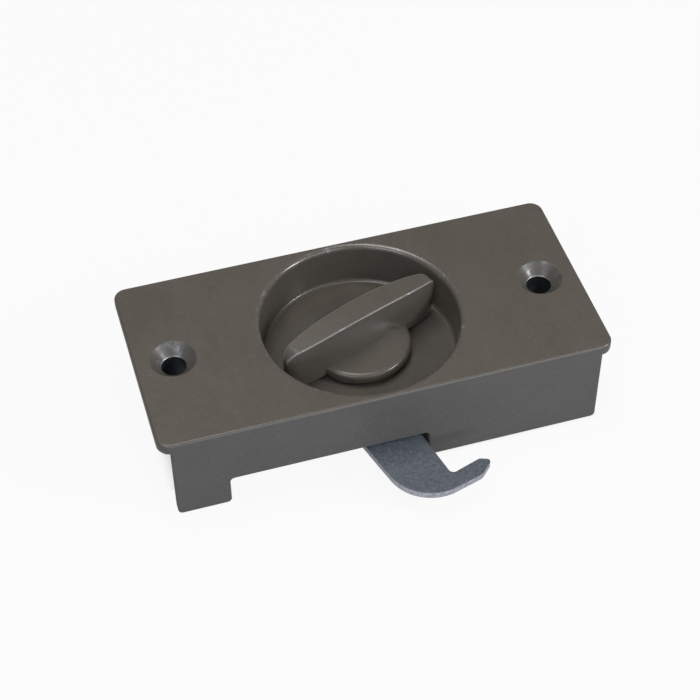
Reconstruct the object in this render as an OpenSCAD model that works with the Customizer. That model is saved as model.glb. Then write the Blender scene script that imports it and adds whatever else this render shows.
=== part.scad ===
// Sliding screen door latch: a die casting with a cup, a turn knob and a swinging hook.
// Its two long walls straddle the door's stile, and both ends are open.
// The origin is midway between the two fixing holes, on the underside of the face plate.
// X runs along the plate, the hook comes out towards -Y, and the knob faces +Z.

/* [Face plate] */
// Length of the face plate
plate_l = 84.14; // [82.6:0.01:96]
// Width of the face plate, and over the walls behind it
plate_w = 39.69; // [39.2:0.01:46.1]
// Thickness of the face plate
plate_t = 2; // [1.6:0.1:3]
// Corner radius of the face plate, seen from the front
plate_corner_r = 2.4; // [1:0.1:4]
// Rounding of the face plate's front edges
plate_edge_r = 0.5; // [0.2:0.05:0.7]

/* [Walls] */
// Length from the inner side of the foot to the right end of the wall
wall_run = 69.85; // [67:0.01:71]
// Width of the foot at the left end of the front wall
foot_w = 9.9; // [8:0.05:10.5]
// Depth of the walls behind the face plate
body_depth = 17.05; // [17:0.05:22]
// Thickness of the walls
wall_t = 2; // [1.5:0.1:2.4]
// Radius of the upright edges at the ends of the walls
body_corner_r = 1; // [0.4:0.1:1.4]
// Radius of the lower corners of the walls and the notch
wall_end_r = 0.9; // [0.3:0.1:1.5]
// Depth of the front wall over the notch, behind the face plate
notch_depth = 10.65; // [10.4:0.05:11.2]
// Distance from the cup's axis to the right end of the notch
notch_end = 7.2; // [7:0.1:12]

/* [Cup] */
// Radius of the cup's wall at the mouth
cup_r = 18.35; // [17.6:0.05:18.6]
// Radius of the cup at its floor
cup_floor_r = 17.95; // [17.3:0.05:18]
// Depth from the front of the plate to the cup's floor
cup_depth = 8.5; // [8:0.1:8.8]
// Rounding of the cup's mouth
cup_lip_r = 0.5; // [0.2:0.05:0.5]
// Fillet between the cup's wall and floor
cup_fillet_r = 0.8; // [0.3:0.1:1.5]
// Thickness of the cup's wall
cup_wall_t = 1.4; // [1:0.1:2]
// Thickness of the cup's floor
cup_floor_t = 1.6; // [1.2:0.1:2]

/* [Fixing holes] */
// Distance between the two fixing holes
hole_spacing = 69.85; // [69:0.01:70.6]
// Diameter of the fixing holes
hole_d = 4.9; // [3.5:0.1:5.1]
// Diameter of the countersink at the front of the plate
sink_d = 8.6; // [7:0.1:9]
// Diameter of the bosses round the fixing holes
hole_boss_d = 8.4; // [7.6:0.1:8.8]
// Depth of the bosses behind the plate
hole_boss_h = 6; // [3:0.1:8]

/* [Knob] */
// Angle of the knob's bar to the plate's length when the hook is out
knob_angle = 20; // [0:1:30]
// Length of the knob's bar
knob_l = 33; // [28:0.1:34]
// Width of the bar in the middle
knob_mid_w = 4.92; // [4.4:0.02:6]
// Width of the bar at its ends
knob_end_w = 2.7; // [2.3:0.02:3.4]
// Height of the bar's middle above the face plate
knob_crown = 2.5; // [1.5:0.1:4]
// Height of the bar's ends above the face plate
knob_end_h = 0.76; // [0.3:0.02:1.2]
// Radius of the bar's lower corners
knob_heel_r = 4.2; // [2:0.1:5]
// Gap between the knob and the floor of the cup
knob_gap = 0.7; // [0.65:0.05:1.2]
// Diameter of the knob's round boss
knob_boss_d = 19; // [17:0.1:22]
// Height of the boss at its edge
knob_boss_h = 2; // [1.6:0.1:3]

/* [Spindle and bush] */
// Diameter of the spindle where it turns in the bush
spindle_d = 6; // [5:0.1:7]
// Distance across the spindle's flats
spindle_flats = 4.4; // [4.3:0.05:4.8]
// Diameter of the spindle's lower journal
journal_d = 4; // [3.8:0.1:4.2]
// Diameter of the tang inside the knob
tang_d = 4.6; // [4:0.1:5]
// Distance across the tang's flats
tang_flats = 3.4; // [2.8:0.1:3.6]
// Radial clearance of a turning shaft in its hole
running_gap = 0.05; // [0.02:0.01:0.1]
// Radial clearance of a seated piece in its hole
seat_gap = 0.02; // [0.01:0.01:0.04]
// Outer diameter of the bush
bush_d = 9; // [8.4:0.1:10]
// Diameter of the bush's flange
bush_flange_d = 15; // [12:0.1:16.5]
// Thickness of the bush's flange
bush_flange_t = 0.6; // [0.4:0.05:0.6]

/* [Hook] */
// Thickness of the hook
hook_t = 1.6; // [1.4:0.05:1.7]
// Drop from the top of the notch to the face of the hook
hook_drop = 0.45; // [0.3:0.05:0.6]
// Distance from the cup's axis to the hook's outer edge, at the front wall
hook_left = 4.5; // [3.5:0.1:5.5]
// Width of the hook's arm at the front wall
hook_arm_w = 10.4; // [9:0.1:11]
// Lean of the arm's outer edge from straight out
hook_lean = 16.4; // [10:0.2:18]
// Lean of the arm's throat edge from straight out
throat_lean = 13.2; // [8:0.2:16]
// Reach of the hook beyond the front wall
hook_reach = 13.2; // [12:0.1:13.6]
// Radius of the hook's heel
heel_r = 8.55; // [6:0.05:9]
// Rise of the nose's outer edge
nose_rise = 15.9; // [12:0.2:20]
// Distance from the cup's axis to the hook's tip
nose_tip = 16.2; // [15.6:0.1:17]
// Gap from the front wall to the tip
tip_gap = 8.65; // [8.2:0.05:8.8]
// Gap from the front wall to the crest of the nose
crest_gap = 7.85; // [7.2:0.05:8]
// Gap from the front wall to the bottom of the throat
throat_gap = 9.75; // [9.5:0.05:10]
// Turn of the knob from hook out to hook in
turn_range = 90; // [80:1:92]
// Width of the hook's tail, as an angle
tail_width = 20; // [14:1:24]
// Length of the tail beyond the hook's hub
tail_l = 3.7; // [3:0.1:3.8]

/* [Detent] */
// Width across the flats of the square cam
cam_w = 9; // [8.6:0.1:9.6]
// Diameter over the cam's rounded corners
cam_corner_d = 11.8; // [11.2:0.1:12.4]
// Thickness of the cam
cam_t = 2; // [1.6:0.05:2]
// Thickness of the leaf spring
leaf_t = 0.4; // [0.3:0.02:0.5]
// Distance between the two pins that carry the leaf spring
leaf_span = 20.4; // [19:0.1:21]
// Diameter of the leaf spring's pins
leaf_pin_d = 2; // [1.6:0.1:2.4]
// Diameter of the stop pins
stop_pin_d = 2.4; // [2:0.1:2.6]

/* [Bearing plate] */
// Thickness of the bearing plate
bearing_t = 1; // [0.8:0.05:1]
// Diameter of the posts under the bearing plate
post_d = 6; // [5:0.1:6.4]
// Diameter of the plate screws
screw_d = 2.2; // [2:0.1:2.6]
// Diameter of the plate screws' heads
screw_head_d = 4.4; // [4:0.1:5]
// Length of the plate screws below the head
screw_l = 6; // [4:0.1:6.5]
// Height of the plate screws' heads
screw_head_h = 1.1; // [0.8:0.05:1.1]
// Thickness of the retaining clip
clip_t = 0.6; // [0.5:0.05:0.6]
// Diameter of the retaining clip
clip_d = 8; // [7:0.1:9]

/* [Hidden] */
$fn = 96;
arc_steps = 14;
overlap = 1;
face_gap = 0.05;
turning_gap = 0.2;

front = plate_w / 2;
body_l = wall_run + foot_w;
foot_inner = foot_w - body_l / 2;
floor_z = plate_t - cup_depth;
floor_under_z = floor_z - cup_floor_t;
knob_z = floor_z + knob_gap;

// Levels of the stack behind the cup's floor
hook_top = -notch_depth - hook_drop;
wave_space = 0.9;
wave_t = 0.3;
waves = 3;
hub_z = hook_top + wave_space;
hook_under = hook_top - hook_t;
cam_under = hook_under - cam_t;
bearing_top = cam_under - turning_gap;
bearing_under = bearing_top - bearing_t;
shim_t = 0.25;
shim_under = bearing_under - face_gap - shim_t;
clip_under = shim_under - face_gap - clip_t;
end_play = 0.15;
spindle_end = clip_under - end_play;
groove_r = journal_d / 2 - 0.45;
hub_d = bush_flange_d;

// Ribs between the cup and the bosses of the fixing holes
rib_t = 1.4;
rib_depth = 4;

// Knob
bar_rise = 0.1;
boss_edge_r = 1;
boss_bend_r = 4.4;
boss_slope_h = 0.9;
boss_neck_h = 3.4;
boss_bend_round = 2.4;
tang_h = 5.4;

// Outline of the hook
hook_normal = [cos(hook_lean), sin(hook_lean)];
hook_hub_r = hook_left * cos(hook_lean) + front * sin(hook_lean);
outer_edge_dir = [sin(hook_lean), -cos(hook_lean)];
nose_dir = [cos(nose_rise), sin(nose_rise)];
throat_x = hook_arm_w - hook_left;
heel_y = -front - hook_reach + heel_r;
heel_x = -hook_left + (heel_r - (heel_y + front) * sin(hook_lean)) / cos(hook_lean);
nose_start = [heel_x, heel_y] + heel_r * [sin(nose_rise), -cos(nose_rise)];
tip = [nose_tip, -front - tip_gap];
tip_slope = 45;
tip_r = 0.5;
crest_back = 2.2;
crest_r = 1.2;
nose_r = 2;
throat_r = 0.9;
hub_bite = 7;

// Stops
tail_at = 60;
tail_r = hook_hub_r + tail_l;
stop_clear = 0.9;
stop_wall = 1;
stop_r = hook_hub_r + stop_clear + stop_pin_d / 2;
stop_gap = 0.12;
stop_side = tail_width / 2 + asin((stop_pin_d / 2 + stop_gap) / stop_r);
stop_depth = 1.2;
stop_end = hook_under - end_play;

// Leaf spring and its pins
leaf_y = cam_w / 2 + face_gap;
leaf_pin_r = leaf_pin_d / 2;
leaf_pin_y = leaf_y + leaf_t + face_gap + leaf_pin_r;
leaf_top = hook_under - end_play;
leaf_under = bearing_top + end_play;
leaf_tab = 1.6;

// Posts that carry the bearing plate
post_right_x = 14.5;
post_left_x = -13;
post_front_y = -10;
post_back_set = 7.85;
post_left_set = 6.85;
post_front = [post_right_x, post_front_y];
post_back = [post_right_x, front - post_back_set];
post_left = [post_left_x, front - post_left_set];
POSTS = [post_front, post_back, post_left];
post_margin = 0.6;
bearing_waist = [-7, -7];
bearing_toe_x = 2;
bearing_corner_r = 2.5;
bearing_bend_r = 4;
pilot_depth = screw_l + 0.6;
screw_play = 0.1;
recess_w = 0.55;

function unit(v) = v / norm(v);
function cross_2d(a, b) = a[0] * b[1] - a[1] * b[0];
function meet(p, d, q, e) = p + d * (cross_2d(q - p, e) / cross_2d(d, e));
function polar(r, a) = r * [cos(a), sin(a)];
function half_turn(a) = a > 180 ? a - 360 : a <= -180 ? a + 360 : a;

// Half of the angle between the two lines that leave a corner
function half_angle(before, corner, after) = acos(unit(before - corner) * unit(after - corner)) / 2;

// Point where the line from a corner leaves the round of radius r
function round_end(before, corner, after, r) =
    corner + unit(after - corner) * r / tan(half_angle(before, corner, after));

// Centre of the round of radius r in a corner
function round_centre(before, corner, after, r) =
    corner + unit(unit(before - corner) + unit(after - corner)) * r / sin(half_angle(before, corner, after));

// Points that round one corner of an outline with radius r
function corner_points(before, corner, after, r) =
    r == 0 ? [corner] :
    let (
        centre = round_centre(before, corner, after, r),
        start = round_end(after, corner, before, r) - centre,
        end = round_end(before, corner, after, r) - centre,
        a = atan2(start[1], start[0]),
        turn = half_turn(atan2(end[1], end[0]) - a)
    )
    [for (i = [0:arc_steps]) centre + polar(r, a + turn * i / arc_steps)];

// Outline through the points, each corner rounded with its own radius
function rounded_outline(points, radii) =
    let (n = len(points))
    [for (i = [0:n - 1])
        each corner_points(points[(i + n - 1) % n], points[i], points[(i + 1) % n], radii[i])];

module rounded_rect(l, w, r) {
    square([l - 2 * r, w], center = true);
    square([l, w - 2 * r], center = true);
    for (x = [-1, 1], y = [-1, 1]) {
        translate([x * (l / 2 - r), y * (w / 2 - r)]) circle(r);
    }
}

// Cylinder from one level down to another
module drop(x, y, top, bottom, r) {
    translate([x, y, bottom]) cylinder(h = top - bottom, r = r);
}

// Round hole with two flats, the flats square to X
module double_d(d, flats) {
    intersection() {
        circle(d / 2);
        square([flats, d + overlap], center = true);
    }
}

// Extrudes an outline drawn in X and Z along the whole width
module across(width) {
    translate([0, width / 2, 0]) rotate([90, 0, 0]) linear_extrude(width) children();
}

module face_plate() {
    e = plate_edge_r;
    rim_z = plate_t - e;
    linear_extrude(rim_z) rounded_rect(plate_l, plate_w, plate_corner_r);
    linear_extrude(plate_t) {
        rounded_rect(plate_l - 2 * e, plate_w - 2 * e, plate_corner_r - e);
    }
    for (side = [-1, 1]) {
        translate([-plate_l / 2 + plate_corner_r, side * (plate_w / 2 - e), rim_z])
            rotate([0, 90, 0]) cylinder(h = plate_l - 2 * plate_corner_r, r = e);
        translate([side * (plate_l / 2 - e), plate_w / 2 - plate_corner_r, rim_z])
            rotate([90, 0, 0]) cylinder(h = plate_w - 2 * plate_corner_r, r = e);
        for (end = [-1, 1]) {
            translate([end * (plate_l / 2 - plate_corner_r), side * (plate_w / 2 - plate_corner_r), rim_z])
                rotate_extrude() translate([plate_corner_r - e, 0]) circle(e);
        }
    }
}

// The block behind the plate before it is hollowed
module body_block() {
    intersection() {
        translate([0, 0, -body_depth])
            linear_extrude(body_depth + plate_t / 2) rounded_rect(body_l, plate_w, body_corner_r);
        across(plate_w) rounded_rect(body_l, 2 * body_depth, wall_end_r);
    }
}

// The open channel between the two walls
module channel() {
    translate([-plate_l / 2, wall_t - front, -body_depth - overlap])
        cube([plate_l, plate_w - 2 * wall_t, body_depth + overlap]);
}

// Outline of the notch in the front wall, in X and Z
module notch_outline() {
    w = notch_end - foot_inner;
    h = body_depth - notch_depth;
    r = wall_end_r;
    translate([foot_inner, -body_depth - overlap]) {
        square([w, h + overlap - r]);
        translate([r, 0]) square([w - 2 * r, h + overlap]);
        for (x = [r, w - r]) translate([x, h + overlap - r]) circle(r);
        for (side = [-1, 1]) translate([w / 2 + side * (w + r) / 2, overlap + r / 2]) {
            difference() {
                square([r, r], center = true);
                translate([side * r / 2, r / 2]) circle(r);
            }
        }
    }
}

module notch() {
    translate([0, -front + wall_t + overlap / 2, 0])
        rotate([90, 0, 0]) linear_extrude(wall_t + overlap) notch_outline();
}

// Inner bosses, posts and ribs of the casting
module casting_works() {
    drop(0, 0, plate_t / 2, floor_under_z, cup_r + cup_wall_t);
    drop(0, 0, floor_z, hub_z, hub_d / 2);
    for (p = POSTS) drop(p[0], p[1], floor_z, bearing_top, post_d / 2);
    for (a = [stop_locked_at(), stop_open_at()]) {
        p = polar(stop_r, a);
        drop(p[0], p[1], floor_z, hub_z, stop_pin_d / 2 + stop_wall);
    }
    for (x = [-1, 1]) {
        drop(x * hole_spacing / 2, 0, plate_t / 2, -hole_boss_h, hole_boss_d / 2);
        translate([x * (cup_r + hole_spacing / 2) / 2, 0, -rib_depth / 2]) {
            cube([hole_spacing / 2 - cup_r, rib_t, rib_depth + plate_t], center = true);
        }
    }
}

function stop_locked_at() = tail_at + stop_side;
function stop_open_at() = tail_at - turn_range - stop_side;

// The space inside the cup, with its draft, floor fillet and rounded mouth
module cup_bore() {
    rotate_extrude() {
        polygon([
            [0, floor_z],
            [cup_floor_r - cup_fillet_r, floor_z],
            [cup_floor_r, floor_z + cup_fillet_r],
            [cup_r, plate_t - cup_lip_r],
            [cup_r, plate_t + overlap],
            [0, plate_t + overlap]
        ]);
        translate([cup_floor_r - cup_fillet_r, floor_z + cup_fillet_r]) circle(cup_fillet_r);
        difference() {
            translate([cup_r - overlap / 2, plate_t - cup_lip_r])
                square([overlap / 2 + cup_lip_r, cup_lip_r + overlap]);
            translate([cup_r + cup_lip_r, plate_t - cup_lip_r]) circle(cup_lip_r);
        }
    }
}

module fixing_hole(x) {
    sink_h = (sink_d - hole_d) / 2;
    drop(x, 0, plate_t + overlap, -hole_boss_h - overlap, hole_d / 2);
    translate([x, 0, plate_t - sink_h]) cylinder(h = sink_h, r1 = hole_d / 2, r2 = sink_d / 2);
    drop(x, 0, plate_t + overlap, plate_t, sink_d / 2);
}

module housing() {
    color([0.36, 0.34, 0.31]) difference() {
        union() {
            face_plate();
            difference() {
                body_block();
                channel();
                notch();
            }
            intersection() {
                body_block();
                casting_works();
            }
        }
        cup_bore();
        drop(0, 0, floor_z + overlap, hub_z - overlap, bush_d / 2 + seat_gap);
        fixing_hole(-hole_spacing / 2);
        fixing_hole(hole_spacing / 2);
        for (p = POSTS) {
            drop(p[0], p[1], bearing_top + pilot_depth, bearing_top - overlap, screw_d / 2 + seat_gap);
        }
        for (a = [stop_locked_at(), stop_open_at()]) {
            p = polar(stop_r, a);
            drop(p[0], p[1], floor_under_z + stop_depth, hub_z - overlap, stop_pin_d / 2 + seat_gap);
        }
    }
}

// Plan of the knob's bar: the space that two large circles share
module bar_plan() {
    sag = (knob_mid_w - knob_end_w) / 2;
    side_r = (knob_l * knob_l / 4 + sag * sag) / (2 * sag);
    intersection() {
        translate([0, side_r - knob_mid_w / 2]) circle(side_r, $fn = 360);
        translate([0, knob_mid_w / 2 - side_r]) circle(side_r, $fn = 360);
    }
}

// Side view of the bar, in X and Z, with its rounded lower corners
module bar_side() {
    heel_centre = knob_l / 2 - knob_heel_r;
    top = plate_t + knob_crown - bar_rise;
    fall = knob_crown - knob_end_h;
    crown_r = (knob_l * knob_l / 4 + fall * fall) / (2 * fall);
    intersection() {
        translate([0, knob_z + knob_heel_r]) {
            translate([-knob_l / 2, 0]) square([knob_l, top - knob_z]);
            translate([-heel_centre, -knob_heel_r]) square([2 * heel_centre, top - knob_z]);
            for (x = [-heel_centre, heel_centre]) translate([x, 0]) circle(knob_heel_r);
        }
        translate([0, top - crown_r]) circle(crown_r, $fn = 360);
    }
}

module knob_bar() {
    intersection() {
        translate([0, 0, knob_z - overlap])
            linear_extrude(plate_t + knob_crown - knob_z + 2 * overlap) bar_plan();
        translate([0, 0, bar_rise]) across(2 * knob_mid_w) bar_side();
    }
}

// Round boss under the bar: a rounded edge, and a hollow slope up to the bar
module knob_boss() {
    r = knob_boss_d / 2;
    edge_z = knob_z + knob_boss_h;
    bend = [boss_bend_r, edge_z + boss_slope_h];
    shoulder = [r - boss_edge_r, edge_z];
    neck = [knob_mid_w / 2 - 0.5, edge_z + boss_neck_h];
    rotate_extrude() {
        polygon([[0, knob_z], [r, knob_z], [r, edge_z - boss_edge_r], shoulder, bend, neck, [0, neck[1]]]);
        translate(shoulder - [0, boss_edge_r]) circle(boss_edge_r);
        difference() {
            polygon([bend, round_end(neck, bend, shoulder, boss_bend_round),
                round_end(shoulder, bend, neck, boss_bend_round)]);
            translate(round_centre(shoulder, bend, neck, boss_bend_round)) circle(boss_bend_round);
        }
    }
}

module turn_knob() {
    color([0.37, 0.35, 0.32]) rotate([0, 0, knob_angle]) difference() {
        union() {
            knob_bar();
            knob_boss();
        }
        translate([0, 0, knob_z - overlap]) linear_extrude(tang_h + overlap + seat_gap)
            rotate([0, 0, 90]) double_d(tang_d + 2 * seat_gap, tang_flats + 2 * seat_gap);
    }
}

module spindle() {
    color([0.68, 0.69, 0.70]) difference() {
        union() {
            translate([0, 0, knob_z]) rotate([0, 0, knob_angle + 90]) linear_extrude(tang_h) {
                double_d(tang_d, tang_flats);
            }
            drop(0, 0, knob_z, hook_top, spindle_d / 2);
            translate([0, 0, cam_under]) linear_extrude(hook_top - cam_under) {
                double_d(spindle_d, spindle_flats);
            }
            drop(0, 0, cam_under, spindle_end, journal_d / 2);
        }
        difference() {
            drop(0, 0, clip_under + clip_t + face_gap, clip_under - face_gap, journal_d);
            drop(0, 0, clip_under + clip_t + overlap, clip_under - overlap, groove_r);
        }
    }
}

module spindle_bush() {
    color([0.82, 0.80, 0.74]) difference() {
        union() {
            drop(0, 0, floor_z + bush_flange_t, floor_z, bush_flange_d / 2);
            drop(0, 0, floor_z + bush_flange_t / 2, hub_z, bush_d / 2);
        }
        drop(0, 0, floor_z + overlap, hub_z - overlap, spindle_d / 2 + running_gap);
    }
}

// Thin ring with three waves, pressed between the hub and the hook
module wave_washer() {
    inner = spindle_d / 2 + wave_t;
    outer = hub_d / 2 - 2 * wave_t;
    wave = (wave_space - wave_t) / 2 - face_gap;
    n = 48;
    middle = (hub_z + hook_top) / 2;
    points = [for (i = [0:n - 1])
        let (a = 360 * i / n, z = middle + wave * cos(waves * a))
        each [
            [inner * cos(a), inner * sin(a), z - wave_t / 2],
            [outer * cos(a), outer * sin(a), z - wave_t / 2],
            [outer * cos(a), outer * sin(a), z + wave_t / 2],
            [inner * cos(a), inner * sin(a), z + wave_t / 2]
        ]];
    faces = [for (i = [0:n - 1], k = [0:3])
        let (j = (i + 1) % n, m = (k + 1) % 4)
        each [
            [4 * i + k, 4 * i + m, 4 * j + m],
            [4 * i + k, 4 * j + m, 4 * j + k]
        ]];
    color([0.62, 0.63, 0.65]) polyhedron(points, faces);
}

module hook_outline() {
    heel_corner = meet([-hook_left, -front], outer_edge_dir, nose_start, nose_dir);
    nose_corner = meet(nose_start, nose_dir, tip, polar(1, tip_slope));
    crest = [nose_tip - crest_back, -front - crest_gap];
    throat = [throat_x + throat_gap * tan(throat_lean), -front - throat_gap];
    root = [throat_x - (front - hub_bite) * tan(throat_lean), -hub_bite];
    circle(hook_hub_r);
    polygon(rounded_outline(
        [-hook_hub_r * hook_normal, heel_corner, nose_corner, tip, crest, throat, root],
        [0, heel_r, nose_r, tip_r, crest_r, throat_r, 0]
    ));
    intersection() {
        circle(tail_r);
        polygon([
            [0, 0],
            polar(2 * tail_r, tail_at - tail_width / 2),
            polar(2 * tail_r, tail_at + tail_width / 2)
        ]);
    }
}

module hook() {
    color([0.40, 0.44, 0.47]) translate([0, 0, hook_under]) linear_extrude(hook_t) difference() {
        hook_outline();
        double_d(spindle_d + 2 * seat_gap, spindle_flats + 2 * seat_gap);
    }
}

module detent_cam() {
    color([0.60, 0.60, 0.58]) translate([0, 0, cam_under]) linear_extrude(cam_t) difference() {
        intersection() {
            square(cam_w, center = true);
            circle(cam_corner_d / 2);
        }
        double_d(spindle_d + 2 * seat_gap, spindle_flats + 2 * seat_gap);
    }
}

// Flat strip along the cam, with each end turned back round its pin
module detent_spring() {
    color([0.50, 0.52, 0.56]) translate([0, 0, leaf_under]) linear_extrude(leaf_top - leaf_under) {
        translate([-leaf_span / 2, leaf_y]) square([leaf_span, leaf_t]);
        for (side = [-1, 1]) translate([side * leaf_span / 2, leaf_pin_y]) on_side(side) {
            intersection() {
                difference() {
                    circle(leaf_pin_r + face_gap + leaf_t);
                    circle(leaf_pin_r + face_gap);
                }
                translate([0, -2 * leaf_pin_d]) square(2 * leaf_pin_d);
            }
            translate([leaf_pin_r + face_gap, 0]) square([leaf_t, leaf_tab]);
        }
    }
}

// Draws its children as they are, or mirrored in X
module on_side(side) {
    if (side > 0) children();
    else mirror([1, 0]) children();
}

module spring_pin(side) {
    color([0.70, 0.71, 0.73])
        drop(side * leaf_span / 2, leaf_pin_y, leaf_top, bearing_under, leaf_pin_r);
}

module bearing_plate() {
    m = post_d / 2 + post_margin;
    corners = [
        post_front + [m, -m], post_back + [m, m], post_left + [-m, m], post_left + [-m, -2 * m],
        bearing_waist, [bearing_toe_x, post_front_y - m]
    ];
    corner_r = bearing_corner_r;
    bend_r = bearing_bend_r;
    color([0.58, 0.60, 0.62]) translate([0, 0, bearing_under]) linear_extrude(bearing_t) difference() {
        polygon(rounded_outline(corners, [corner_r, corner_r, corner_r, corner_r, bend_r, bend_r]));
        circle(journal_d / 2 + running_gap);
        for (p = POSTS) translate(p) circle(screw_d / 2 + screw_play);
        for (side = [-1, 1]) translate([side * leaf_span / 2, leaf_pin_y]) circle(leaf_pin_r + seat_gap);
    }
}

// Low-headed screw with a cross recess
module plate_screw(place) {
    recess_l = screw_head_d * 0.55;
    color([0.66, 0.67, 0.69]) translate([place[0], place[1], 0]) difference() {
        union() {
            drop(0, 0, bearing_under, bearing_under - screw_head_h, screw_head_d / 2);
            drop(0, 0, bearing_under + screw_l, bearing_under - screw_head_h / 2, screw_d / 2);
        }
        for (a = [45, 135]) translate([0, 0, bearing_under - screw_head_h]) rotate([0, 0, a]) {
            cube([recess_l, recess_w, screw_head_h], center = true);
        }
    }
}

module stop_pin(angle) {
    p = polar(stop_r, angle);
    color([0.70, 0.71, 0.73])
        drop(p[0], p[1], floor_under_z + stop_depth - seat_gap, stop_end, stop_pin_d / 2);
}

module shim_washer() {
    color([0.72, 0.72, 0.70]) translate([0, 0, shim_under]) linear_extrude(shim_t) difference() {
        circle(clip_d / 2 + 0.3);
        circle(journal_d / 2 + running_gap);
    }
}

module retaining_clip() {
    band = 1.1;
    mouth = 2 * groove_r * 0.86;
    color([0.32, 0.33, 0.35]) translate([0, 0, clip_under]) linear_extrude(clip_t) difference() {
        union() {
            difference() {
                circle(clip_d / 2);
                circle(clip_d / 2 - band);
            }
            for (a = [90, 180, 270]) rotate([0, 0, a]) translate([0, -band * 0.7]) {
                square([clip_d / 2 - band / 2, band * 1.4]);
            }
        }
        circle(groove_r + face_gap);
        translate([0, -mouth / 2]) square([clip_d, mouth]);
    }
}

housing();
turn_knob();
spindle();
spindle_bush();
wave_washer();
hook();
detent_cam();
detent_spring();
spring_pin(-1);  // spring_pin_left
spring_pin(1);  // spring_pin_right
bearing_plate();
plate_screw(post_front);  // plate_screw_front
plate_screw(post_back);  // plate_screw_back
plate_screw(post_left);  // plate_screw_left
stop_pin(stop_locked_at());  // stop_pin_locked
stop_pin(stop_open_at());  // stop_pin_open
shim_washer();
retaining_clip();
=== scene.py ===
import math

import bmesh
import bpy
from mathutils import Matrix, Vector


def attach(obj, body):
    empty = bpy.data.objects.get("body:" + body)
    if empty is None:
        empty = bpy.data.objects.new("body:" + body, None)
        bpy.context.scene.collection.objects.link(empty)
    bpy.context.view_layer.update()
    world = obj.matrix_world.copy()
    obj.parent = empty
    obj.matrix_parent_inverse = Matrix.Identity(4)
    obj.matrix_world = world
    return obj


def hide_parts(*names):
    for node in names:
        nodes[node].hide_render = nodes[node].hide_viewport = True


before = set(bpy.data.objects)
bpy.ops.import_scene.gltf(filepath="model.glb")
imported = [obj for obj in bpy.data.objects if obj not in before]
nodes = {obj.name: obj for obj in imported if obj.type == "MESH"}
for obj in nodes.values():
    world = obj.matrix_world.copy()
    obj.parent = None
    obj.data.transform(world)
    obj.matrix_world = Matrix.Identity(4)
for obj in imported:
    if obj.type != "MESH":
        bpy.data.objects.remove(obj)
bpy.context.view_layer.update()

# All sizes are in millimetres and all angles in degrees, in the frame of the solids.

# Face plate: its size, upright corners, front edges, and the free edges of its underside
PLATE_L, PLATE_W, PLATE_T = 84.14, 39.69, 2.0
PLATE_CORNER, PLATE_EDGE, PLATE_UNDER_EDGE = 2.4, 0.5, 0.15
FRONT = PLATE_W / 2

# Long walls: the foot is at the left end of the front wall, and the notch runs from it
BODY_L, BODY_DEPTH, WALL_T = 79.75, 17.05, 2.0
WALL_EDGE, WALL_END, WALL_SET = 0.3, 0.9, 0.02
FOOT_INNER, NOTCH_END, NOTCH_TOP = -29.975, 7.2, -10.65

# Cup, with a ring of points in the middle of its floor, and the hub that takes the bush
CUP_R, CUP_FLOOR_R, CUP_FLOOR_Z, CUP_MIDDLE_R = 18.35, 17.95, -6.5, 9.0
CUP_LIP, CUP_FILLET, CUP_OUTER_R, CUP_UNDER_Z = 1.0, 0.8, 19.75, -8.1
HUB_R, HUB_END, BUSH_R = 7.5, -10.2, 4.52

# Fixing holes with a ring at the countersink's foot, their bosses, and ribs to the cup
HOLE_X, HOLE_R, SINK_R, RING = 34.925, 2.45, 4.3, 0.17
BOSS_R, BOSS_END = 4.2, -6.0
RIB_NEAR, RIB_FAR, RIB_HALF, RIB_END = 19.2, 33.5, 0.7, -4.0

# Posts for the bearing plate's screws, and lugs for the stop pins
POSTS = ((14.5, -10.0), (14.5, 11.995), (-13.0, 12.995))
POST_R, POST_END, PILOT_R, PILOT_DEPTH = 3.0, -14.9, 1.12, 6.6
STOP_R, STOP_ANGLES, STOP_LUG_R = 12.02, (77.9, -47.9), 2.2
STOP_HOLE_R, STOP_HOLE_RISE = 1.22, 1.2

# Knob: a crowned bar with blunt ends, its boss, and the hole for the spindle's tang
KNOB_ANGLE, KNOB_L, KNOB_MID, KNOB_BLUNT = 20.0, 33.7, 4.92, 0.67
KNOB_Z, KNOB_TOP, KNOB_END_TOP = -5.8, 4.5, 2.76
KNOB_HEEL, KNOB_SHOULDER, KNOB_EDGE = 4.2, 2.7, 0.26
KNOB_BOSS_R, KNOB_BOSS_EDGE_Z, KNOB_BOSS_ROUND, KNOB_BOSS_FOOT = 9.5, -3.8, 1.0, 0.2
TANG_HALF_X, TANG_HALF_Y, TANG_DEPTH = 2.3, 1.75, 5.42

# Swell of the boss: its height, where it starts along X, its run, its reach from the bar,
# and the radius and width of the rim that stays level
SWELL, SWELL_START, SWELL_RUN, SWELL_REACH = 0.75, -5.0, 11.0, 5.0
SWELL_RIM_R, SWELL_RIM_W = 8.6, 2.6

# Hook: levels and hub, then the arm, and the tip, crest and throat by their gaps to the wall
HOOK_TOP, HOOK_UNDER, HOOK_EDGE = -11.1, -12.7, 0.14
HOOK_HUB_R, HOOK_TAIL_R, HOOK_TAIL = 9.92, 13.62, (50, 70)
HOOK_LEFT, HOOK_ARM_W, HOOK_REACH, HOOK_HEEL = 4.5, 10.4, 13.2, 8.55
HOOK_LEAN, THROAT_LEAN, NOSE_RISE = 16.4, 13.2, 15.9
TIP_X, TIP_GAP, CREST_BACK, CREST_GAP, THROAT_GAP = 16.2, 8.65, 2.2, 7.85, 9.75
NOSE_ROUND, TIP_ROUND, CREST_ROUND, THROAT_ROUND = 2.0, 0.6, 1.3, 0.9
BORE_R, BORE_HALF_ARC = 3.02, 42.8

# Points closer than this are one point
MERGE_GAP = 0.0008

# Slots of the casting's finishes, and of the two finishes of the knob and of the hook
PAINT, RUBBED_AND_PAINTED_HIGHLIGHT, SINK, HOLE_WALL_PAINTED_SHADE, BARE_RING, LIP, WALLS_PAINTED_COOL_LIGHT = range(7)
FACE, EDGE = range(2)


# Modelling

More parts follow.
